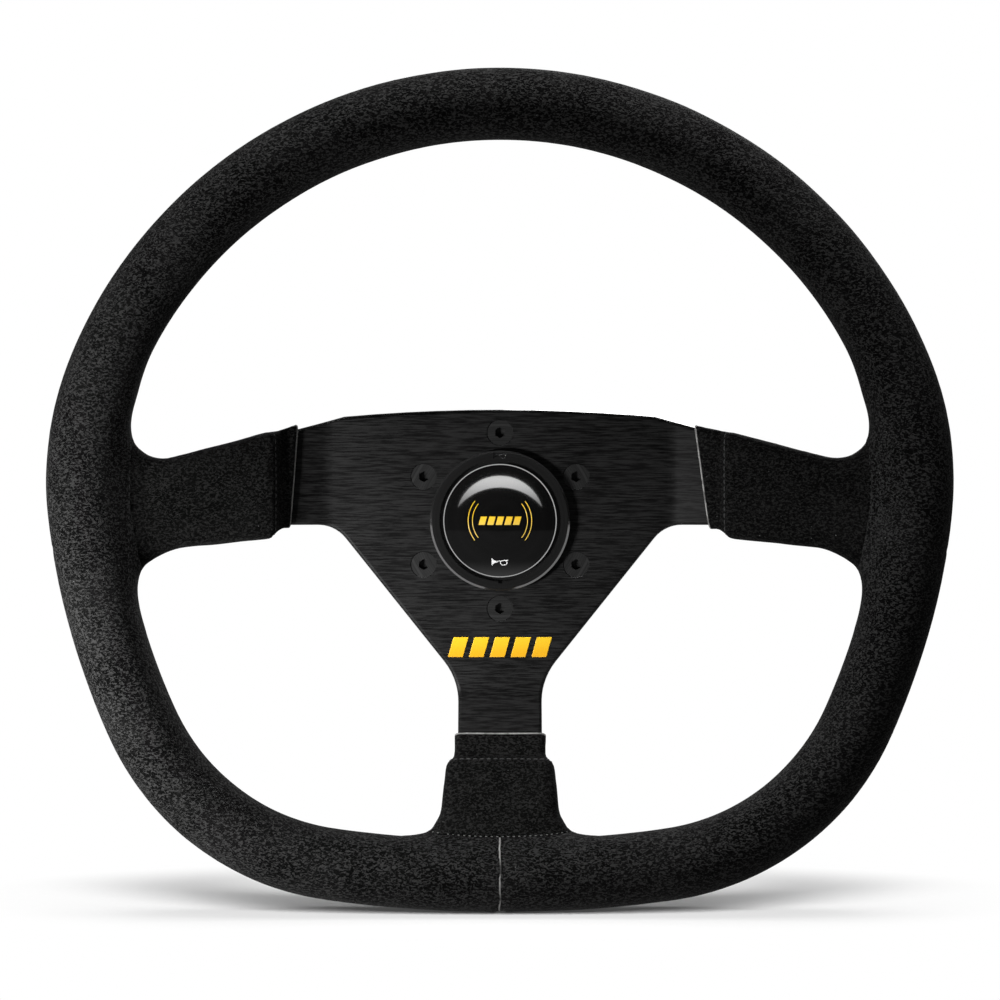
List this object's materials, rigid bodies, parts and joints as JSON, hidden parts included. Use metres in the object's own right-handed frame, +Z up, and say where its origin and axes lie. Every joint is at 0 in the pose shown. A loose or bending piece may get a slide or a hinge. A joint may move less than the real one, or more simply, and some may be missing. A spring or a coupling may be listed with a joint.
{
  "type": "quick release steering wheel",
  "caption": "Flat-bottomed three-spoke racing wheel with horn button and a sprung quick release coupler behind it.",
  "frame": {"origin": "centre of the shaft socket's mouth, where its pilot bore begins", "axes": "+Y along the steering axis and out of the socket, away from the driver; +Z up; +X to the driver's right"},
  "size_m": [0.3504, 0.1119, 0.3259],
  "materials": {
    "suede": "brushed suede nap, stitched",
    "grip_foam": "moulded polyurethane foam",
    "plate_black": "black anodised, brushed across",
    "hoop_alloy": "mill finish",
    "screw_steel": "black oxide",
    "housing_plastic": "moulded, fine texture",
    "bezel_plastic": "satin black",
    "button_gloss": "polished black dome",
    "trim_chrome": "bright plated",
    "contact_brass": "pressed sheet",
    "spring_steel": "drawn wire and strip",
    "coupler_black": "turned, black anodised",
    "insert_steel": "broached and hardened",
    "pin_steel": "ground",
    "bush_bronze": "turned bronze",
    "collar_alloy": "turned, clear anodised",
    "washer_steel": "zinc plated"
  },
  "bodies": {
    "wheel": {"spoke_plate": "plate_black", "rim_hoop": "hoop_alloy", "rim_foam": "grip_foam", "rim_cover": "suede", "left_arm_padding": "grip_foam", "right_arm_padding": "grip_foam", "lower_arm_padding": "grip_foam", "left_spoke_cover": "suede", "right_spoke_cover": "suede", "lower_spoke_cover": "suede", "wheel_screws": "screw_steel", "horn_housing": "housing_plastic", "horn_clip": "spring_steel", "horn_bezel": "bezel_plastic", "horn_fixed_contact": "contact_brass", "horn_terminals": "contact_brass", "horn_spring": "spring_steel", "coupler_body": "coupler_black", "spline_insert": "insert_steel", "insert_pins": "pin_steel", "pilot_bush": "bush_bronze", "spring_seat": "washer_steel", "collar_spring": "spring_steel", "snap_ring": "spring_steel"},
    "collar": {"release_collar": "collar_alloy"},
    "button": {"horn_button": "button_gloss", "button_trim_ring": "trim_chrome", "horn_moving_contact": "contact_brass"},
    "pin_1": {"lock_pin_1": "pin_steel"},
    "pin_2": {"lock_pin_2": "pin_steel"},
    "pin_3": {"lock_pin_3": "pin_steel"},
    "pin_4": {"lock_pin_4": "pin_steel"}
  },
  "joints": [
    {"name": "collar_pull", "type": "slide", "parent": "wheel", "child": "collar", "axis": [0, -1, 0], "range_m": [0, 0.008], "stiffness_N_per_m": 1500, "springref_m": -0.012, "deforming": ["collar_spring"]},
    {"name": "horn_press", "type": "slide", "parent": "wheel", "child": "button", "axis": [0, 1, 0], "range_m": [0, 0.0018], "stiffness_N_per_m": 800, "springref_m": -0.004, "deforming": ["horn_spring"]},
    {"name": "lock_pin_1_slide", "type": "slide", "parent": "wheel", "child": "pin_1", "axis": [0, 0, 1], "range_m": [0, 0.00145]},
    {"name": "lock_pin_2_slide", "type": "slide", "parent": "wheel", "child": "pin_2", "axis": [1, 0, 0], "range_m": [0, 0.00145]},
    {"name": "lock_pin_3_slide", "type": "slide", "parent": "wheel", "child": "pin_3", "axis": [0, 0, -1], "range_m": [0, 0.00145]},
    {"name": "lock_pin_4_slide", "type": "slide", "parent": "wheel", "child": "pin_4", "axis": [-1, 0, 0], "range_m": [0, 0.00145]}
  ],
  "couplings": [
    {"joint": "lock_pin_1_slide", "follows": "collar_pull", "ratio": 0.175},
    {"joint": "lock_pin_2_slide", "follows": "collar_pull", "ratio": 0.175},
    {"joint": "lock_pin_3_slide", "follows": "collar_pull", "ratio": 0.175},
    {"joint": "lock_pin_4_slide", "follows": "collar_pull", "ratio": 0.175}
  ]
}
